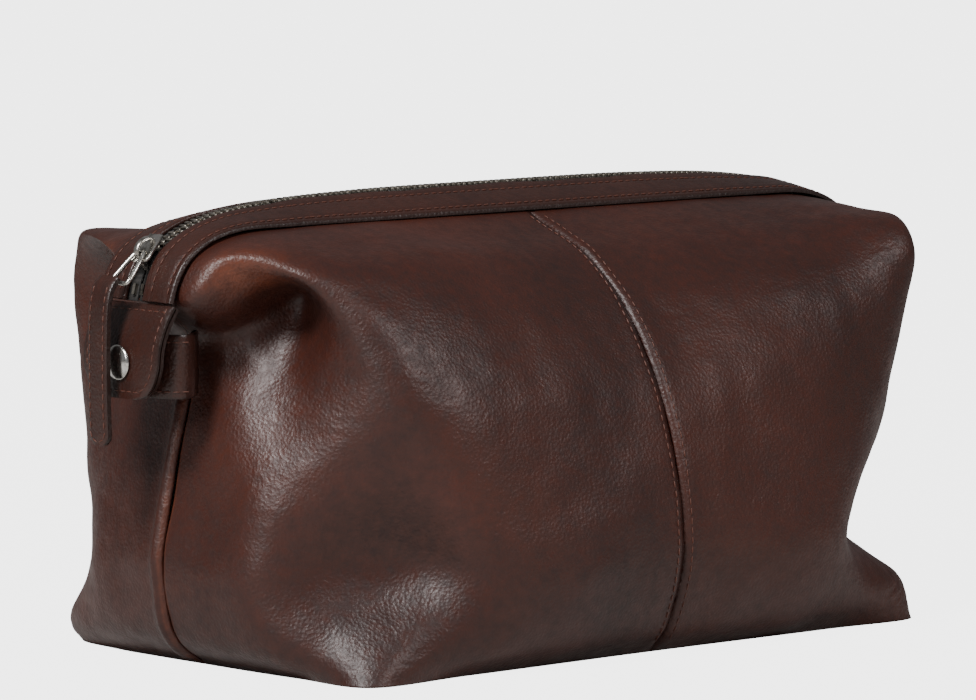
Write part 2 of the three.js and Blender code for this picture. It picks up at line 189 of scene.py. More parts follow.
def reshaped(profiles, changes):
    """Copy of the net with single points moved: {(column, level): point}."""
    copy = [[list(point) for point in column] for column in profiles]
    for (column, level), point in changes.items():
        copy[column][level] = list(point)
    return copy


QUARTERS = {
    # name: side of X, side of Y, seed and where that corner sags away from the others
    "front_left": (1, 1, 3.1, reshaped(PROFILES, {
        (1, 5): (-99, -78, 120), (1, 6): (-99, -68, 134),
        (2, 1): (-126, -78, 13), (2, 2): (-109, -71, 38),
        (2, 3): (-115, -76, 68), (2, 4): (-117, -80, 97), (2, 5): (-124, -70, 117),
        (2, 6): (-131, -58, 134), (2, 7): (-138, -50, 142.5), (2, 8): (-143, -36, 149.5),
        (3, 4): (-138, -42, 88), (3, 5): (-129, -37, 107), (3, 6): (-118, -30, 131),
        (4, 5): (-137, -20, 108), (4, 6): (-136, -20, 121), (4, 7): (-154, -24.5, 126),
        (4, 8): (-164.5, -24.5, 131.5), (4, 9): (-166.5, -15, 133),
        (3, 7): (-142, -35, 138.5), (3, 8): (-155.5, -32, 144.5), (3, 9): (-163, -19, 139)})),
    "front_right": (-1, 1, 17.7, reshaped(PROFILES, {
        (2, 1): (-131, -80, 15), (2, 2): (-103, -71, 40), (2, 3): (-122, -76, 68),
        (3, 1): (-143, -49, 12), (3, 2): (-128, -43, 39), (3, 3): (-140, -45, 64),
        (4, 2): (-150.5, -22.5, 37), (4, 3): (-148.5, -24, 64)})),
    "back_left": (1, -1, 31.3, reshaped(PROFILES, {
        (2, 0): (-130, -79, 0), (2, 1): (-132, -82.5, 8), (2, 2): (-130, -71, 34),
        (2, 3): (-131, -75, 70),
        (2, 4): (-132, -77, 102), (2, 5): (-133, -79, 127), (2, 6): (-133, -79, 138),
        (2, 7): (-134, -73, 149)})),
    "back_right": (-1, -1, 47.9, reshaped(PROFILES, {
        (2, 2): (-114, -70, 36), (2, 6): (-137, -76, 137)})),
}


def spline(points, t):
    """Smooth line through points (or through rows of points), at t from 0 to 1."""
    p = np.asarray(points, float)
    p = np.concatenate([2 * p[:1] - p[1:2], p, 2 * p[-1:] - p[-2:-1]])
    gap = np.maximum(np.linalg.norm(np.diff(p, axis=0), axis=-1, keepdims=True), 1e-9) ** 0.5
    place = np.asarray(t, float) * (len(p) - 3)
    k = np.clip(place.astype(int), 0, len(p) - 4)
    w = (place - k).reshape(-1, *[1] * (p.ndim - 1))
    a, b, c, d = p[k], p[k + 1], p[k + 2], p[k + 3]
    ga, gb, gc = gap[k], gap[k + 1], gap[k + 2]
    start = ((b - a) / ga - (c - a) / (ga + gb) + (c - b) / gb) * gb
    end = ((c - b) / gb - (d - b) / (gb + gc) + (d - c) / gc) * gb
    return ((2 * w**3 - 3 * w**2 + 1) * b + (w**3 - 2 * w**2 + w) * start
            + (3 * w**2 - 2 * w**3) * c + (w**3 - w**2) * end)


# The panels' top margin lies under the zip band, so the band's two lines come
# first: the zip itself and the band's outer edge, as (x, z) from the left end.
BAND_HALF = 20
ZIP_LINE = [[-168.5, 131], [-166, 139.5], [-161.5, 147], [-152, 154], [-138, 159.3],
            [-114, 163.2], [-70, 165.4], [0, 165.8]]
EDGE_LINE = [[-168.5, 131], [-165.8, 138.5], [-160.8, 145.6], [-151.5, 151.6], [-138, 155],
             [-112, 155.6], [-70, 155.6], [0, 155.6]]


def over_the_top(left):
    """A line from the left end to the middle, carried on to the right end."""
    return left + [[-x, z] for x, z in left[-2::-1]]


BAND_T = np.linspace(0, 1, 1201)
zip_line = spline(over_the_top(ZIP_LINE), BAND_T)
edge_line = spline(over_the_top(EDGE_LINE), BAND_T)


def band(x, y, height):
    """Points of the band over zip stations x, a distance y from the zip, at a height."""
    x, y, height = np.broadcast_arrays(*(np.asarray(value, float) for value in (x, y, height)))
    t = np.interp(x, zip_line[:, 0], BAND_T)
    share = np.abs(y) / BAND_HALF
    across = [[np.interp(t, BAND_T, line[:, k]) for k in range(2)] for line in (zip_line, edge_line)]
    px = across[0][0] * (1 - share) + across[1][0] * share
    pz = across[0][1] * (1 - share) + across[1][1] * share
    slope = [np.interp(t, BAND_T, np.gradient(zip_line[:, k])) for k in range(2)]
    long = np.hypot(*slope)
    return np.stack([px - slope[1] / long * height, y, pz + slope[0] / long * height], -1)


def shell(profiles, u, v):
    """Points of a quarter of the bag: u from the side's middle to the end's, v upwards."""
    at = np.asarray(profiles, float)
    beside_front = at[1] * (-1, 1, 1)
    beside_end = at[-2] * (1, -1, 1)
    rounds = np.concatenate([[beside_front], at, [beside_end]])
    columns = spline(rounds, (1 + (len(at) - 1) * np.asarray(u)) / (len(at) + 1))
    return spline(columns.transpose(1, 0, 2), v)


def tucked(profiles, u, v):
    """The shell with its top margin drawn up against the underside of the zip band."""
    points = shell(profiles, u, v)
    top = shell(profiles, u, np.array([1.0]))[0]
    y = np.clip(top[:, 1], -16.5, 0)
    down = np.clip((y + 16.5) / 8, 0, 1)
    goal = band(top[:, 0] * (1 - down) - 168.3 * down, y, -1.7)
    share = np.clip((v - 0.84) / 0.16, 0, 1)
    share = share * share * (3 - 2 * share)
    return points + share[:, None, None] * (goal - top)


def surface(profiles, u, v):
    """Points and outward normals of the shell."""
    step = 0.003
    points = tucked(profiles, u, v)
    along_u = tucked(profiles, u + step, v) - tucked(profiles, u - step, v)
    high = np.minimum(v + step, 1)
    low = np.maximum(v - step, 0)
    along_v = tucked(profiles, u, high) - tucked(profiles, u, low)
    normals = np.cross(along_v, along_u)
    return points, normals / np.linalg.norm(normals, axis=-1, keepdims=True)


def leather(name, deep, middle, worn_and_sheen, roughness=0.43):
    """Waxed pull-up leather, paler where it is scuffed or stretched, and where a highlight is painted into
    the colour.

    The wax lies in clouds about 90 mm and flecks about 4 mm across. The pebbled
    grain is 1.2 mm across, coarser than real so that it shows.
    """
    m = new_material(name)
    place = node(m, "ShaderNodeTexCoord").outputs["Object"]
    in_mm = node(m, "ShaderNodeVectorMath", {0: place}, operation="SCALE", in_Scale=1000.0).outputs[0]
    cloud = node(m, "ShaderNodeTexNoise", {"Vector": in_mm}, in_Scale=0.011, in_Detail=4.0,
                 in_Roughness=0.5).outputs["Fac"]
    speck = node(m, "ShaderNodeTexNoise", {"Vector": in_mm}, in_Scale=0.25, in_Detail=6.0,
                 in_Roughness=0.65).outputs["Fac"]
    mottle = node(m, "ShaderNodeMix", {2: cloud, 3: speck}, data_type="FLOAT", in_0=0.4).outputs[0]
    tone = node(m, "ShaderNodeValToRGB", {"Fac": mottle})
    tone.color_ramp.elements[0].position = 0.36
    tone.color_ramp.elements[0].color = srgb(deep)
    tone.color_ramp.elements[1].position = 0.7
    tone.color_ramp.elements[1].color = srgb(middle)
    # The attribute pales the colour: scuffing and edge paint, and a highlight painted on the panels' rolls.
    wear_and_sheen = node(m, "ShaderNodeAttribute", attribute_name="wear_and_sheen").outputs["Fac"]
    wear_and_sheen_share = node(m, "ShaderNodeMath", {0: wear_and_sheen, 1: speck}, operation="MULTIPLY").outputs[0]
    wear_and_sheen_share = node(m, "ShaderNodeMath", {0: wear_and_sheen_share}, operation="MULTIPLY", in_1=1.7, use_clamp=True).outputs[0]
    colour = node(m, "ShaderNodeMix", {0: wear_and_sheen_share, 6: tone.outputs[0]}, data_type="RGBA",
                  in_7=srgb(worn_and_sheen)).outputs[2]
    grain = node(m, "ShaderNodeTexVoronoi", {"Vector": in_mm}, feature="SMOOTH_F1", in_Scale=0.8,
                 in_Smoothness=0.35).outputs["Distance"]
    crease = node(m, "ShaderNodeTexNoise", {"Vector": in_mm}, in_Scale=0.7, in_Detail=4.0,
                  in_Distortion=1.4).outputs["Fac"]
    height = node(m, "ShaderNodeMath", {0: grain, 1: crease}, operation="ADD").outputs[0]
    bump = node(m, "ShaderNodeBump", {"Height": height}, in_Strength=0.6, in_Distance=0.00022)
    shine = node(m, "ShaderNodeMapRange", {"Value": speck}, in_1=0.35, in_2=0.65,
                 in_3=roughness + 0.06, in_4=roughness - 0.04).outputs[0]
    shader = node(m, "ShaderNodeBsdfPrincipled",
                  {"Base Color": colour, "Roughness": shine, "Normal": bump.outputs[0]},
                  in_IOR=1.45)
    return finish_material(m, shader)


# The last colour serves for scuffs and stretched folds, and for the highlight painted on the rolls.
panel_leather = leather("waxed pull-up leather", "#25100c", "#451f14", "#85472e")


def add_wear_and_sheen(made, values):
    """Stores how far each point takes the leather's last colour, from 0 to 1: scuffing and edge paint, and on
    the panels' rolls a painted highlight.
    """
    made.data.attributes.new("wear_and_sheen", "FLOAT", "POINT").data.foreach_set("value", np.ravel(values))


def grid_faces(rows, columns):
    """Quads of an open sheet."""
    k = np.arange(rows * columns).reshape(rows, columns)
    return np.stack([k[:-1, :-1], k[:-1, 1:], k[1:, 1:], k[1:, :-1]], -1).reshape(-1, 4)


def solidify(made, thick, skived=None):
    """Gives a sheet its thickness inwards, pared down to a quarter where skived is 1."""
    wall = made.modifiers.new("thickness", "SOLIDIFY")
    wall.thickness = thick * MM
    wall.offset = -1
    if skived is not None:
        full = made.vertex_groups.new(name="full thickness")
        for index, share in enumerate(np.ravel(skived)):
            full.add([index], 1 - float(share), "REPLACE")
        wall.vertex_group = full.name
        wall.thickness_vertex_group = 0.25


def fbm(points, size, seed):
    """Smooth noise over points in mm, of that feature size."""
    flat = points.reshape(-1, 3) / size + seed
    values = [noise.fractal(Vector(p), 0.6, 2.0, 3) for p in flat]
    return np.array(values).reshape(points.shape[:-1])


def creases(points):
    """Fine folds that run level across the swell of the leather, in mm."""
    bent = points + 5 * np.stack([fbm(points, 45, s) for s in (71.0, 83.0, 97.0)], -1)
    level = bent[..., 2] + 0.12 * bent[..., 0]
    fold = 1 - np.abs(np.sin(level * pi / 4.6 + 2.2 * fbm(points, 16, 61.0)))
    patch = np.clip(fbm(points, 40, 53.0) * 2.2, 0, 1)
    return -0.3 * fold**4 * patch


PANEL_COLUMNS, PANEL_ROWS = 170, 150
SKINS = {}


def panel(name, sx, sy, seed, profiles):
    """One panel. Its finished skin is kept in SKINS for the seam's stitches."""
    u = np.linspace(0, 1, PANEL_COLUMNS)
    v = np.linspace(0, 1, PANEL_ROWS)
    points, normals = surface(profiles, u, v)
    x, y, z = points[..., 0], points[..., 1], points[..., 2]
    across = np.minimum(np.abs(x), np.abs(y))
    # The edge turns in at the seam, with a soft swell where it is topstitched.
    lift = -1.0 * np.exp(-(across / 0.8) ** 2) + 0.12 * np.exp(-((across - 4.5) / 3) ** 2)
    lift += 1.0 * fbm(points, 48, seed) + 0.1 * fbm(points, 14, seed + 9)
    lift += creases(points)
    if sy < 0:
        # At the end seams the back panel's edge stands up as a soft roll, below the strap.
        low = np.clip((np.abs(x) - 120) / 15, 0, 1) * np.clip((106 - z) / 14, 0, 1)
        lift += 1.8 * np.exp(-((np.abs(y) - 3.6) / 2.5) ** 2) * low
    lift *= np.clip(z / 4, 0, 1)
    # The top margin lies flat under the band.
    reach = 150 - 34 * np.clip((np.abs(x) - 120) / 20, 0, 1)
    lift *= np.clip(np.clip((np.abs(y) - 18) / 8, 0, 1) + np.clip((reach - z) / 10, 0, 1), 0, 1)
    points = points + normals * lift[..., None]
    points[..., 0] = np.minimum(points[..., 0], -0.12)
    points[..., 1] = np.minimum(points[..., 1], -0.12)
    points[..., 2] = np.maximum(points[..., 2], 0)
    SKINS[name] = (points.copy(), normals)
    # Paler along the seams, where the leather is scuffed. The roll beside the band's foot is paler too:
    # pull-up leather stretched over the fold, with a highlight painted along its crest.
    worn_and_sheen = np.exp(-((across - 1.2) / 0.6) ** 2) * 0.25
    worn_and_sheen += 0.5 * np.exp(-((x + 150) / 14) ** 2 - ((y + 36) / 9) ** 2 - ((z - 140) / 7) ** 2)
    points = points * (sx, sy, 1) * MM
    faces = grid_faces(PANEL_ROWS, PANEL_COLUMNS)
    if sx * sy > 0:
        faces = faces[:, ::-1]
    made = mesh_object(f"{name}_leather", points.reshape(-1, 3), faces, panel_leather)
    add_wear_and_sheen(made, worn_and_sheen)
    # Pared thin in the ears, where the leather folds tightly.
    folded = np.clip((np.abs(x) - 118) / 10, 0, 1) * np.clip((z - 112) / 10, 0, 1)
    solidify(made, LEATHER_THICK, folded)
    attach(made, "bag")
    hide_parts(f"{name}_panel")


for name, quarter in QUARTERS.items():
    panel(name, *quarter)


# ---- Stitches -----------------------------------------------------------
# Waxed rust-brown thread, about seven stitches to 25 mm. Each stitch is a short
# bead lying along its row, half sunk into the leather.
STITCH = {"Pitch": 3.4 * MM, "Length": 2.6 * MM, "Thickness": 0.6 * MM}


def repeating_tree(title, sizes, finish, one_piece, axis, pivot="AUTO"):
    """Repeats one piece at each pitch of a row, turned to the row's own direction."""
    tree = bpy.data.node_groups.new(title, "GeometryNodeTree")
    face = tree.interface
    face.new_socket("Geometry", in_out="INPUT", socket_type="NodeSocketGeometry")
    for size in sizes:
        face.new_socket(size, in_out="INPUT", socket_type="NodeSocketFloat")
    face.new_socket(finish, in_out="INPUT", socket_type="NodeSocketMaterial")
    face.new_socket("Geometry", in_out="OUTPUT", socket_type="NodeSocketGeometry")
    add, link = tree.nodes.new, tree.links.new
    given = add("NodeGroupInput").outputs
    row = add("GeometryNodeMeshToCurve")
    spaced = add("GeometryNodeResampleCurve")
    spaced.mode = "LENGTH"
    along = add("GeometryNodeInputTangent")
    turn = add("FunctionNodeAlignRotationToVector")
    turn.axis = axis
    turn.pivot_axis = pivot
    placed = add("GeometryNodeInstanceOnPoints")
    real = add("GeometryNodeRealizeInstances")
    painted = add("GeometryNodeSetMaterial")
    link(given["Geometry"], row.inputs["Mesh"])
    link(row.outputs[0], spaced.inputs["Curve"])
    link(given["Pitch"], spaced.inputs["Length"])
    link(along.outputs[0], turn.inputs["Vector"])
    link(spaced.outputs[0], placed.inputs["Points"])
    link(one_piece(add, link, given), placed.inputs["Instance"])
    link(turn.outputs[0], placed.inputs["Rotation"])
    link(placed.outputs[0], real.inputs[0])
    link(real.outputs[0], painted.inputs["Geometry"])
    link(given[finish], painted.inputs["Material"])
    link(painted.outputs[0], add("NodeGroupOutput").inputs[0])
    return tree


def bead(add, link, given):
    """One stitch: a smooth bead that lies along Z."""
    ball = add("GeometryNodeMeshUVSphere")
    ball.inputs["Segments"].default_value = 6
    ball.inputs["Rings"].default_value = 5
    ball.inputs["Radius"].default_value = 0.5
    size = add("ShaderNodeCombineXYZ")
    shaped = add("GeometryNodeTransform")
    smooth = add("GeometryNodeSetShadeSmooth")
    link(given["Thickness"], size.inputs["X"])
    link(given["Thickness"], size.inputs["Y"])
    link(given["Length"], size.inputs["Z"])
    link(ball.outputs["Mesh"], shaped.inputs["Geometry"])
    link(size.outputs[0], shaped.inputs["Scale"])
    link(shaped.outputs[0], smooth.inputs["Geometry"])
    return smooth.outputs[0]


stitch_tree = repeating_tree("stitch row", STITCH, "Thread", bead, "Z")

# Waxed linen: dull, with the twist of its plies every 0.5 mm.
thread = new_material("waxed linen thread")
thread_place = node(thread, "ShaderNodeTexCoord").outputs["Object"]
thread_twist = node(thread, "ShaderNodeTexWave", {"Vector": thread_place}, in_Scale=700.0, in_Distortion=1.0)
thread_bump = node(thread, "ShaderNodeBump", {"Height": thread_twist.outputs["Fac"]},
                   in_Strength=0.4, in_Distance=0.0001)
finish_material(thread, node(thread, "ShaderNodeBsdfPrincipled", {"Normal": thread_bump.outputs[0]},
                             in_Base_Color=srgb("#4c2619"), in_Roughness=0.55))


def repeated(name, rows, tree, **values):
    """Plain mesh made by a tree along rows of points in mm."""
    points, edges = [], []
    for row in rows:
        first = len(points)
        points += [Vector(p) * MM for p in row]
        edges += [(k, k + 1) for k in range(first, len(points) - 1)]
    data = bpy.data.meshes.new("rows")
    data.from_pydata(points, edges, [])
    path = bpy.data.objects.new("rows", data)
    bpy.context.collection.objects.link(path)
    work = path.modifiers.new("tree", "NODES")
    work.node_group = tree
    for item in tree.interface.items_tree:
        if item.in_out == "INPUT" and item.name in values:
            work[item.identifier] = values[item.name]
    shown = path.evaluated_get(bpy.context.evaluated_depsgraph_get())
    made = bpy.data.objects.new(name, bpy.data.meshes.new_from_object(shown))
    bpy.context.collection.objects.link(made)
    bpy.data.objects.remove(path)
    return made


def move_with(made, body, blend=None):
    """Rides on one body. Where a blend is given, its transform is only baked in, and it rides on no body."""
    if blend is None:
        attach(made, body)
    else:
        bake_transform(made)


def stitches(name, rows, ride_on, blend=None):
    """Rows of stitches, as one piece."""
    made = repeated(name, rows, stitch_tree, Thread=thread, **STITCH)
    move_with(made, ride_on, blend)


def seam_row(name, offset, lowest, highest):
    """Row beside a centre seam, a distance from it along the panel's finished skin."""
    sx, sy = QUARTERS[name][:2]
    points, normals = SKINS[name]
    line = []
    for row, facing in zip(points, normals):
        near = np.array([np.interp(offset, -row[:40, 0], row[:40, axis]) for axis in range(3)])
        if lowest < near[2] < highest:
            line.append((near + facing[4] * 0.1) * (sx, sy, 1))
    return line


for side in ("front", "back"):
    rows = [seam_row(f"{side}_{end}", 3.4, 6, 153) for end in ("left", "right")]
    stitches(f"{side}_seam_stitches", rows, "bag")

# ---- Base ---------------------------------------------------------------
# A flat leather base is sewn to the foot of the walls, with a stiffener board
# laid over it inside. Both are plain flat cuts, so only their finish is new.

# The same leather, duller and unwaxed where it is never handled.
base_leather = leather("plain underside leather", "#1f100c", "#381c14", "#5d3220", 0.55)
# Dull pressed board with fibres about 1 mm long.
board = new_material("grey pressed fibreboard")
board_place = node(board, "ShaderNodeTexCoord").outputs["Object"]
board_fibre = node(board, "ShaderNodeTexNoise", {"Vector": board_place}, in_Scale=900.0, in_Detail=3.0)
board_bump = node(board, "ShaderNodeBump", {"Height": board_fibre.outputs["Fac"]}, in_Distance=0.0002)
finish_material(board, node(board, "ShaderNodeBsdfPrincipled", {"Normal": board_bump.outputs[0]},
                            in_Base_Color=srgb("#34302d"), in_Roughness=0.9))


def repaint(name, material):
    """Gives a piece that keeps its plain shape its real finish."""
    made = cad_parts[name]
    made.data.materials.clear()
    made.data.materials.append(material)


repaint("base_panel", base_leather)
repaint("base_board", board)

# ---- Lining -------------------------------------------------------------
# A bag of thin brown cotton twill hangs inside the leather and is closed over
# the board. It is seen only when the mouth is open.
lining_cloth = new_material("brown cotton twill")
lining_place = node(lining_cloth, "ShaderNodeTexCoord").outputs["Object"]
# Dry cloth with a slight bloom and diagonal ribs, drawn 1.4 mm apart to show.
twill = node(lining_cloth, "ShaderNodeTexWave", {"Vector": lining_place}, bands_direction="DIAGONAL",
             in_Scale=260.0, in_Distortion=0.6, in_Detail=2.0)
twill_tone = node(lining_cloth, "ShaderNodeValToRGB", {"Fac": twill.outputs["Fac"]})
twill_tone.color_ramp.elements[0].color = srgb("#3a2c20")
twill_tone.color_ramp.elements[1].color = srgb("#5b4735")
twill_bump = node(lining_cloth, "ShaderNodeBump", {"Height": twill.outputs["Fac"]}, in_Distance=0.0002)
finish_material(lining_cloth, node(lining_cloth, "ShaderNodeBsdfPrincipled",
                                   {"Base Color": twill_tone.outputs[0], "Normal": twill_bump.outputs[0]},
                                   in_Roughness=0.85, in_Sheen_Weight=0.2))
LINING_GAP = 4.6
LINING_THICK = 0.8


def wrapped_faces(rows, columns, joined=False):
    """Quads of a skin whose rows close on themselves. Joined also ties the last row to the first."""
    k = np.arange(rows * columns).reshape(rows, columns)
    after = np.roll(k, -1, 1)
    quads = np.stack([k, after, np.roll(after, -1, 0), np.roll(k, -1, 0)], -1)
    return (quads if joined else quads[:-1]).reshape(-1, 4)


def turn_faces(made, merge=False, inwards=False):
    """Points the faces of a closed mesh one way, outwards as a rule."""
    work = bmesh.new()
    work.from_mesh(made.data)
    if merge:
        bmesh.ops.remove_doubles(work, verts=work.verts, dist=1e-5)
    bmesh.ops.recalc_face_normals(work, faces=work.faces)
    if inwards:
        bmesh.ops.reverse_faces(work, faces=work.faces)
    work.to_mesh(made.data)
    work.free()


def lining_bag():
    """One thin tub just inside the panels, closed over the board."""
    u = np.linspace(0, 1, 60)
    v = np.linspace(0.12, 0.6, 40)
    quarter = {}
    for name, (sx, sy, _, profiles) in QUARTERS.items():
        points, normals = surface(profiles, u, v)
        points = points - normals * LINING_GAP
        points[..., 2] = np.maximum(points[..., 2], 5)
        quarter[name] = points * (sx, sy, 1)
    whole = np.concatenate([
        quarter["front_left"], quarter["back_left"][:, -2::-1],
        quarter["back_right"][:, 1:], quarter["front_right"][:, -2:0:-1],
    ], 1)
    rim = whole[:1] * (0.84, 0.84, 0) + (0, 0, 4.7)
    middle = rim * (0, 0, 1)
    whole = np.concatenate([middle, rim, whole])
    faces = wrapped_faces(*whole.shape[:2])
    made = mesh_object("lining_bag", whole.reshape(-1, 3) * MM, faces, lining_cloth)
    turn_faces(made, merge=True, inwards=True)
    solidify(made, -LINING_THICK)
    return made


cloth_bag = lining_bag()
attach(cloth_bag, "bag")
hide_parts("lining")

# ---- Zip band -----------------------------------------------------------
# Two strips of the same leather, 2 mm thick, are sewn over the panels' top edges
# and the zip tape with two rows of stitches. They run down both ends of the bag,
# and between the ends the real strips turn up and out when the mouth is open.
# Here those middle pieces are only baked in place.
def tube(name, rings, material):
    """Skin over rings of points in mm, with flat caps."""
    rings = np.asarray(rings, float)
    rows, columns = rings.shape[:2]
    faces = list(wrapped_faces(rows, columns))
    faces += [range(columns)[::-1], range((rows - 1) * columns, rows * columns)]
    made = mesh_object(name, rings.reshape(-1, 3) * MM, faces, material)
    turn_faces(made)
    made.data.set_sharp_from_angle(angle=radians(55))
    return made


def section(y0, y1, bottom, top, rows):
    """Outline of a strip of leather: rounded edges, and a dip under each row of stitches."""
    edge = 0.6
    inner, outer = y0 + edge, y1 - edge
    y = np.linspace(inner, outer, 25)
    dip = sum((0.32 * np.exp(-((y - row) / 0.8) ** 2) for row in rows), np.zeros(25))
    crown = 0.25 * np.sin(pi * (y - inner) / (outer - inner))
    over = np.stack([y, top - dip + crown], -1)
    under = np.stack([y[::-4], np.full(len(y[::-4]), bottom)], -1)
    return np.concatenate([over, [[y1 - 0.1, top - edge]], [[y1 - 0.1, bottom + 0.3]], under,
                           [[y0 + 0.1, bottom + 0.3]], [[y0 + 0.1, top - edge]]])


STATIONS = {
    # piece: from and to along the zip, what moves it, and where it bends to follow
    "left_end": (-168.45, -105, "bag", None),
    "left_half": (-105, -8, "lip", (-105, -62)),
    "right_half": (-8, 88, "lip", (88, 45)),
    "right_end": (88, 168.45, "bag", None),
}
INNER_ROW = 8.6
OUTER_ROW = 17.4
STRIP_TOP = 1.2


def stations(x0, x1, count):
    """Stations spread evenly along the zip line between two places."""
    t0, t1 = (np.interp(x, zip_line[:, 0], BAND_T) for x in (x0, x1))
    return np.interp(np.linspace(t0, t1, count), BAND_T, zip_line[:, 0])


def waver(x, sign):
    """The strips' inner edges wander a little along the zip."""
    return 0.5 * np.sin(x / 13 + sign) + 0.35 * np.sin(x / 5.3 + 2 * sign)


# Cut from the firmer part of the hide: smoother, with dark painted edges.
band_leather = leather("waxed pull-up leather strip", "#22110d", "#3b1d15", "#1b100d", 0.38)
for side, sign in (("front", -1), ("back", 1)):
    for part, (x0, x1, body, blend) in STATIONS.items():
        rider = "bag" if body == "bag" else f"{side}_lip"
        along = stations(x0, x1, 70)
        outline = section(4.6, BAND_HALF, -0.6, STRIP_TOP, (INNER_ROW, OUTER_ROW))
        rings = []
        for x in along:
            y = outline[:, 0] + waver(x, sign) * np.clip((8 - outline[:, 0]) / 3.4, 0, 1)
            rings.append(band(x, sign * y, outline[:, 1]))
        strip = tube(f"{side}_strip_{part}", rings, band_leather)
        wear_and_sheen = np.repeat([np.exp(-((outline[:, 0] - BAND_HALF) / 0.8) ** 2) * 0.7], len(along), 0)
        add_wear_and_sheen(strip, wear_and_sheen)
        move_with(strip, rider, blend)
        end = part if part.endswith("end") else None
        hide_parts(f"{end}_{side}_strip" if end else f"{side}_strip")
        rows = []
        for row in (INNER_ROW, OUTER_ROW):
            inside = stations(x0 + 1.2, x1 - 1.2, 60)
            rows.append(band(inside, sign * row, STRIP_TOP - 0.02))
        stitches(f"{side}_strip_{part}_stitches", rows, rider, blend)


# ---- Zip tape and teeth -------------------------------------------------
# Black woven polyester tape is sewn under the strips. Cast metal teeth are
# clenched on its edge every 2.6 mm, those of one side between the other's.
TOOTH = {"Pitch": 2.6 * MM, "Length": 1.35 * MM, "Width": 3.2 * MM, "Height": 2.3 * MM}
CHAIN_ENDS = (-159.5, 157)
# Dull cloth, ribbed across every 0.75 mm.
tape_cloth = new_material("black polyester zip tape")
tape_place = node(tape_cloth, "ShaderNodeTexCoord").outputs["Object"]
tape_weave = node(tape_cloth, "ShaderNodeTexWave", {"Vector": tape_place}, bands_direction="X",
                  in_Scale=420.0, in_Distortion=0.4)
tape_bump = node(tape_cloth, "ShaderNodeBump", {"Height": tape_weave.outputs["Fac"]}, in_Distance=0.0002)
tape_tone = node(tape_cloth, "ShaderNodeValToRGB", {"Fac": tape_weave.outputs["Fac"]})
tape_tone.color_ramp.elements[0].color = srgb("#0d0b0a")
tape_tone.color_ramp.elements[1].color = srgb("#24201d")
finish_material(tape_cloth, node(tape_cloth, "ShaderNodeBsdfPrincipled",
                                 {"Base Color": tape_tone.outputs[0], "Normal": tape_bump.outputs[0]},
                                 in_Roughness=0.8, in_Sheen_Weight=0.15))


def metal(name, light, dark, roughness):
    """Plated metal, dulled and darkened in clouds of tarnish 2.4 mm across."""
    m = new_material(name)
    place = node(m, "ShaderNodeTexCoord").outputs["Object"]
    cloud = node(m, "ShaderNodeTexNoise", {"Vector": place}, in_Scale=420.0, in_Detail=4.0).outputs["Fac"]
    tone = node(m, "ShaderNodeValToRGB", {"Fac": cloud})
    tone.color_ramp.elements[0].position = 0.35
    tone.color_ramp.elements[0].color = srgb(dark)
    tone.color_ramp.elements[1].position = 0.6
    tone.color_ramp.elements[1].color = srgb(light)
    rough = node(m, "ShaderNodeMapRange", {"Value": cloud}, in_3=roughness + 0.12,
                 in_4=roughness - 0.06).outputs[0]
    bump = node(m, "ShaderNodeBump", {"Height": cloud}, in_Strength=0.3, in_Distance=0.00005)
    shader = node(m, "ShaderNodeBsdfPrincipled",
                  {"Base Color": tone.outputs[0], "Roughness": rough, "Normal": bump.outputs[0]},
                  in_Metallic=1.0)
    return finish_material(m, shader)


# Old nickel over zinc: grey, and half dull between the teeth.
zip_metal = metal("antique nickel plate", "#b9b2a6", "#5d574f", 0.32)


def tooth(add, link, given):
    """One tooth: a block along X with its corners rounded off."""
    size = add("ShaderNodeCombineXYZ")
    block = add("GeometryNodeMeshCube")
    rounded = add("GeometryNodeSubdivisionSurface")
    rounded.inputs["Level"].default_value = 2
    rounded.inputs["Edge Crease"].default_value = 0.62
    for axis, title in zip("XYZ", ("Length", "Width", "Height")):
        link(given[title], size.inputs[axis])
    link(size.outputs[0], block.inputs["Size"])
    link(block.outputs["Mesh"], rounded.inputs["Mesh"])
    return rounded.outputs[0]


tooth_tree = repeating_tree("zip teeth", TOOTH, "Metal", tooth, "X", "Y")


def chain_row(x0, x1, y, shift):
    """Line of one side's teeth, with whole pitches counted from the slider."""
    length = np.concatenate([[0], np.cumsum(np.hypot(*np.diff(zip_line, axis=0).T))])
    at = np.interp([CHAIN_ENDS[0], x0, x1], zip_line[:, 0], length)
    pitch = TOOTH["Pitch"] / MM
    first = at[0] + shift + pitch * np.ceil((max(at[1], at[0]) - at[0] - shift) / pitch)
    end = min(at[2], np.interp(CHAIN_ENDS[1], zip_line[:, 0], length))
    last = first + pitch * np.floor((end - first) / pitch)
    along = np.arange(first, last + 0.01, pitch)
    x = np.interp(along, length, zip_line[:, 0])
    return band(x, y, -1.1)


for side, sign in (("front", -1), ("back", 1)):
    for part, (x0, x1, body, blend) in STATIONS.items():
        rider = "bag" if body == "bag" else f"{side}_lip"
        flat = [(0.7, -0.9), (12, -0.9), (12, -1.5), (0.7, -1.5)]
        rings = [band([x] * 4, [sign * y for y, _ in flat], [h for _, h in flat])
                 for x in stations(x0, x1, 60)]
        tape = tube(f"{side}_tape_{part}", rings, tape_cloth)
        move_with(tape, rider, blend)
        end = part if part.endswith("end") else None
        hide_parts(f"{end}_{side}_tape" if end else f"{side}_tape")
        row = chain_row(x0, x1, sign * 1.3, 0 if sign < 0 else 1.3)
        teeth = repeated(f"{side}_teeth_{part}", [row], tooth_tree, Metal=zip_metal, **TOOTH)
        move_with(teeth, rider, blend)
        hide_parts(f"{part}_teeth" if end else f"{side}_teeth")

for name in ("front_top_stop", "back_top_stop", "bottom_stop"):
    repaint(name, zip_metal)

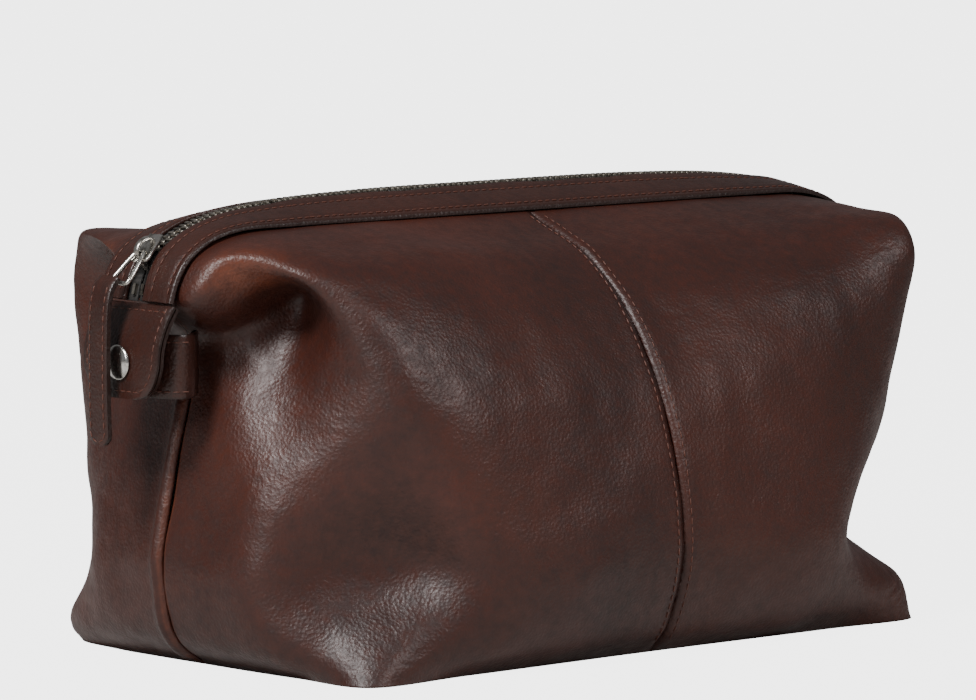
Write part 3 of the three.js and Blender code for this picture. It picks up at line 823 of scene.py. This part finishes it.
# ---- Slider -------------------------------------------------------------
# A zinc casting, plated bright: two rounded plates joined by a post, which hold
# the teeth between them, and a bridge over the top one that carries the ring.
SLIDER_TILT = radians(46)
SLIDER_HALF = 6.5
TOP_PLATE = (2.2, 3.5)
UNDER_PLATE = (-5.1, -3.8)
seat_x = -161.5
seat_z = float(np.interp(seat_x, zip_line[:, 0], zip_line[:, 1]))


def in_slider(points):
    """From the slider's own axes, X along the zip and Z outwards, to the bag's, in metres."""
    p = np.asarray(points, float)
    x = seat_x + p[:, 0] * cos(SLIDER_TILT) - p[:, 2] * sin(SLIDER_TILT)
    z = seat_z + p[:, 0] * sin(SLIDER_TILT) + p[:, 2] * cos(SLIDER_TILT)
    return np.stack([x, p[:, 1], z], -1) * MM


def casting(name, outline, low, high, soften):
    """Plate of the slider with a rounded rim, standing on an outline of (x, y) in mm."""
    shape = bmesh.new()
    under = [shape.verts.new((x, y, low)) for x, y in outline]
    over = [shape.verts.new((x, y, high)) for x, y in outline]
    shape.faces.new(under[::-1])
    shape.faces.new(over)
    for k in range(len(outline)):
        after = (k + 1) % len(outline)
        shape.faces.new((under[k], under[after], over[after], over[k]))
    rim = [e for e in shape.edges if any(len(f.verts) > 4 for f in e.link_faces)]
    bmesh.ops.bevel(shape, geom=rim, offset=soften, segments=3, affect="EDGES", profile=0.5)
    bmesh.ops.recalc_face_normals(shape, faces=shape.faces)
    data = bpy.data.meshes.new(name)
    shape.to_mesh(data)
    shape.free()
    data.vertices.foreach_set("co", np.ravel(in_slider([v.co for v in data.vertices])))
    data.materials.append(nickel)
    data.polygons.foreach_set("use_smooth", [True] * len(data.polygons))
    data.update()
    made = bpy.data.objects.new(name, data)
    bpy.context.collection.objects.link(made)
    made.modifiers.new("flat faces", "WEIGHTED_NORMAL")
    return made


def slider_outline(half):
    """Wide with round shoulders at the post, tapering to the tail."""
    nose = [(-SLIDER_HALF + 2.2 * (1 - cos(a)), half * sin(a)) for a in np.linspace(-pi / 2, pi / 2, 13)]
    return nose + [(SLIDER_HALF, half * 0.72), (SLIDER_HALF, -half * 0.72)]


# Bright nickel, worn a little grey by fingers.
nickel = metal("bright nickel casting", "#cfccc6", "#8b867e", 0.22)
plate_outline = slider_outline(4.7)
top_plate = casting("slider_top_plate", plate_outline, *TOP_PLATE, 0.45)
under_plate = casting("slider_under_plate", plate_outline, *UNDER_PLATE, 0.45)
post = casting("slider_post", [(-5.9, -1.1), (-3.9, -1.1), (-3.2, 0), (-3.9, 1.1), (-5.9, 1.1)],
               -4.2, 2.6, 0.2)
for made in (top_plate, under_plate, post):
    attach(made, "slider")
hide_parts("slider_body")


def rod(name, centre, side, wide, high, closed=False):
    """Flat or round nickel bar swept along points in mm."""
    centre = np.asarray(centre, float)
    side = np.asarray(side, float) / np.linalg.norm(side)
    ahead = np.roll(centre, -1, 0) - np.roll(centre, 1, 0)
    if not closed:
        ahead[0], ahead[-1] = centre[1] - centre[0], centre[-1] - centre[-2]
    ahead /= np.linalg.norm(ahead, axis=1, keepdims=True)
    up = np.cross(ahead, side)
    angle = np.linspace(0, 2 * pi, 12, endpoint=False)
    rings = [c + np.outer(np.cos(angle), side) * wide / 2 + np.outer(np.sin(angle), n) * high / 2
             for c, n in zip(centre, up)]
    if not closed:
        return tube(name, rings, nickel)
    rings = np.asarray(rings)
    faces = wrapped_faces(*rings.shape[:2], joined=True)
    made = mesh_object(name, rings.reshape(-1, 3) * MM, faces, nickel)
    turn_faces(made)
    return made


arch = spline([[-4.6, 0, 3.2], [-4.3, 0, 5], [-2.6, 0, 6.5], [0.6, 0, 6.5], [3.2, 0, 5],
               [3.9, 0, 3.2]], np.linspace(0, 1, 28))
bridge = rod("slider_bridge_bar", in_slider(arch) / MM, (0, 1, 0), 2.6, 1.5)
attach(bridge, "slider")
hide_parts("slider_bridge")

# ---- Pull ring ----------------------------------------------------------
# A long D of 1.7 mm nickel-plated wire, brazed shut. It hangs from the bridge,
# and the leather pull folds round its wide foot.
RING_WIRE = 1.7
RING_TOP, RING_FOOT = (-166.1, 148.3), (-176.2, 137.8)
fall = np.array([RING_FOOT[0] - RING_TOP[0], RING_FOOT[1] - RING_TOP[1]])
ring_shape = [(0, -1.4), (0, 1.4), (0.25, 2.9), (0.6, 3.9), (0.92, 4.5), (1, 3.9), (1, 0),
              (1, -3.9), (0.92, -4.5), (0.6, -3.9), (0.25, -2.9)]
ring_line = [[RING_TOP[0] + fall[0] * k, y, RING_TOP[1] + fall[1] * k] for k, y in ring_shape]
ring_line = spline(ring_line[-2:] + ring_line + ring_line[:3], np.linspace(2 / 15, 13 / 15, 73))[:-1]
ring = rod("ring_of_wire", ring_line, (-fall[1], 0, fall[0]), RING_WIRE, RING_WIRE, closed=True)
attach(ring, "ring")
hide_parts("pull_ring")

# ---- Leather pull -------------------------------------------------------
# A strip of the band's leather, pared, folded in two round the ring and sewn
# round its edge. It is 10 mm wide and hangs down in front of the tab.
def hanging(name, line, half_width, centre_y, depth, thick, rounding):
    """Cut piece whose outer face follows a line of (x, z); depth is how far in it starts."""
    steps = 60
    t = np.linspace(0, 1, steps)
    path = spline(line, t)
    along = np.gradient(path, axis=0)
    along /= np.linalg.norm(along, axis=1, keepdims=True)
    inward = np.stack([-along[:, 1], along[:, 0]], -1)
    share = np.linspace(-1, 1, 25)
    rings = []
    for k in range(steps):
        half = half_width(t[k])
        bulge = np.clip((1 - np.abs(share)) * half / 2.2, 0, 1) ** 0.5
        outer = depth + rounding * (1 - bulge)
        inner = depth + thick - rounding * (1 - bulge) * 0.6
        y = centre_y + share * half
        front = np.stack([path[k, 0] + inward[k, 0] * outer, y, path[k, 1] + inward[k, 1] * outer], -1)
        rear = np.stack([path[k, 0] + inward[k, 0] * inner, y, path[k, 1] + inward[k, 1] * inner], -1)
        rings.append(np.concatenate([front, rear[::-1]]))
    made = tube(name, rings, band_leather)
    edge = np.concatenate([np.abs(share), np.abs(share)]) ** 14
    add_wear_and_sheen(made, np.repeat([edge * 0.8], steps, 0))
    return made


def edge_row(line, half_width, centre_y, inset, lift, start):
    """Row of stitches a constant way in from the edge of a hanging piece."""
    dense = np.linspace(0, 1, 400)
    path = spline(line, dense)
    length = np.concatenate([[0], np.cumsum(np.hypot(*np.diff(path, axis=0).T))])
    half = np.array([half_width(t) for t in dense])
    down = np.stack([length, half], -1)
    foot = np.stack([np.full(30, length[-1]), np.linspace(half[-1], 0, 30)], -1)[1:]
    side = np.concatenate([down, foot])
    ahead = np.gradient(side, axis=0)
    ahead /= np.maximum(np.linalg.norm(ahead, axis=1, keepdims=True), 1e-9)
    inset_line = side + np.stack([ahead[:, 1], -ahead[:, 0]], -1) * inset
    keep = inset_line[:, 0] >= start
    inset_line = inset_line[keep & (inset_line[:, 1] > 0) & (inset_line[:, 0] <= length[-1] - inset + 0.01)]
    whole = np.concatenate([inset_line, (inset_line * (1, -1))[::-1]])
    place = np.stack([np.interp(whole[:, 0], length, path[:, k]) for k in range(2)], -1)
    slope = np.stack([np.interp(whole[:, 0], length, np.gradient(path[:, k])) for k in range(2)], -1)
    slope /= np.linalg.norm(slope, axis=1, keepdims=True)
    return np.stack([place[:, 0] + slope[:, 1] * lift, centre_y + whole[:, 1],
                     place[:, 1] - slope[:, 0] * lift], -1)


def rounded_end(half, corner, length):
    """Half width along a piece whose foot has rounded corners."""
    def width(t):
        missing = max(corner - length * (1 - t), 0)
        return half - corner + sqrt(max(corner**2 - missing**2, 0)) * 0.995
    return width


PULL_THICK = 2.7
PULL_LINE = [[-177.8, 140.2], [-180.6, 137.2], [-182.3, 132.5], [-183, 127], [-183.4, 116], [-183.4, 98],
             [-182.8, 81]]
pull_width = rounded_end(5.2, 2.5, 60)
pull = hanging("pull_strip", PULL_LINE, pull_width, 4, 0, PULL_THICK, 0.6)
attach(pull, "pull")
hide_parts("leather_pull")
stitches("pull_stitches", [edge_row(PULL_LINE, pull_width, 4, 1.6, -0.05, 6)], "pull")

# ---- End tabs and snaps -------------------------------------------------
# Two layers of leather, glued and sewn round the edge, hang over the band's
# foot at each end. A 12.5 mm nickel snap closes them through the strap loop.
SNAP_HEIGHT = 110
CAP_SEAT = -176.7
CAP_PROFILE = [(0, 0), (6.0, 0), (6.25, 0.25), (6.2, 0.6), (5.6, 1.05), (4.6, 1.4), (3.2, 1.66),
               (1.6, 1.8), (0, 1.84)]
TAB_LAYER = 1.7
TAB_LINE = [[-168.6, 130.4], [-172.4, 124.5], [-175.6, 116], [-176.4, 108], [-176.2, 97.4]]
tab_width = rounded_end(20.5, 12, 36)
# Polished nickel, nearly a mirror.
snap_metal = metal("polished nickel cap", "#dedcd8", "#a9a6a0", 0.16)


def turned(name, profile, x, side, material):
    """Lathe-turned piece on the snap's axis. The profile is (radius, height outwards)."""
    angle = np.linspace(0, 2 * pi, 48, endpoint=False)
    rings = [[(side * (x - h), max(r, 0.02) * cos(a), SNAP_HEIGHT + max(r, 0.02) * sin(a))
              for a in angle] for r, h in profile]
    return tube(name, rings, material)


def to_side(made, side):
    """Mirrors a piece of the left end for the right one, where side is -1."""
    if side < 0:
        made.data.transform(Matrix.Diagonal((-1, 1, 1, 1)))
        turn_faces(made)
    return made


ENDS = (("left", 1), ("right", -1))
for end, side in ENDS:
    tab = to_side(hanging(f"{end}_tab_face", TAB_LINE, tab_width, 0, 0, TAB_LAYER, 0.5), side)
    backing = to_side(hanging(f"{end}_tab_lining", TAB_LINE, tab_width, 0, TAB_LAYER + 0.02,
                              TAB_LAYER, 0.3), side)
    row = edge_row(TAB_LINE, tab_width, 0, 2.6, -0.05, 2.2)
    top_row = [edge_row(TAB_LINE, tab_width, 0, 2.6, 0.0, 2.6)[0] * (1, 0, 1) + (0, y, 0)
               for y in np.linspace(-17, 17, 12)]
    sewn = [[p * (side, 1, 1) for p in line] for line in (row, top_row)]
    stitches(f"{end}_tab_stitches", sewn, f"{end}_tab")
    cap = turned(f"{end}_cap", CAP_PROFILE, CAP_SEAT, side, snap_metal)
    for made, name, slot_name in ((tab, f"{end}_tab", "leather"), (backing, f"{end}_tab_backing", "backing"),
                                  (cap, f"{end}_snap_cap", "snap_metal")):
        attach(made, f"{end}_tab")
        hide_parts(name)
    for name in ("snap_socket", "snap_stud", "stud_rivet"):
        repaint(f"{end}_{name}", snap_metal)

# ---- Strap loops --------------------------------------------------------
# A flat strap of one layer of leather loops across each end, with a row of
# stitches along both edges. Its ends are sewn into the fold behind the tab.
STRAP_LOW, STRAP_HIGH = 97.5, 120
STRAP_ROWS = (STRAP_LOW + 2.6, STRAP_HIGH - 2.6)
STRAP_PLAN = [[-147, -8], [-152, -12.5], [-158, -18.5], [-164, -19], [-168.3, -12.5], [-169.1, 0]]
strap_plan = STRAP_PLAN + [[x, -y] for x, y in STRAP_PLAN[-2::-1]]


def strap_loop(end, side):
    """The loop of one end, with its stitches."""
    path = spline(strap_plan, np.linspace(0, 1, 90))
    along = np.gradient(path, axis=0)
    along /= np.linalg.norm(along, axis=1, keepdims=True)
    inward = np.stack([along[:, 1], -along[:, 0]], -1)
    share = np.linspace(0, 1, 21)
    height = STRAP_LOW + share * (STRAP_HIGH - STRAP_LOW)
    edge = np.clip(np.minimum(share, 1 - share) * (STRAP_HIGH - STRAP_LOW) / 1.2, 0, 1) ** 0.5
    dip = sum(0.25 * np.exp(-((height - row) / 0.8) ** 2) for row in STRAP_ROWS)
    rings = []
    for k in range(len(path)):
        outer = path[k] + np.outer(0.5 * (1 - edge) + dip, inward[k])
        inner = path[k] + np.outer(2.0 - 0.4 * (1 - edge), inward[k])
        rings.append(np.concatenate([np.column_stack([outer, height]),
                                     np.column_stack([inner, height])[::-1]]))
    made = to_side(tube(f"{end}_strap_loop", rings, band_leather), side)
    add_wear_and_sheen(made, np.repeat([np.concatenate([1 - edge, 1 - edge]) * 0.8], len(path), 0))
    rows = [[(side * p[0] - side * n[0] * 0.02, p[1] - n[1] * 0.02, row)
             for p, n in zip(path[24:-24], inward[24:-24])] for row in STRAP_ROWS]
    stitches(f"{end}_strap_stitches", rows, "bag")
    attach(made, "bag")
    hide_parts(f"{end}_strap")


for end, side in ENDS:
    strap_loop(end, side)
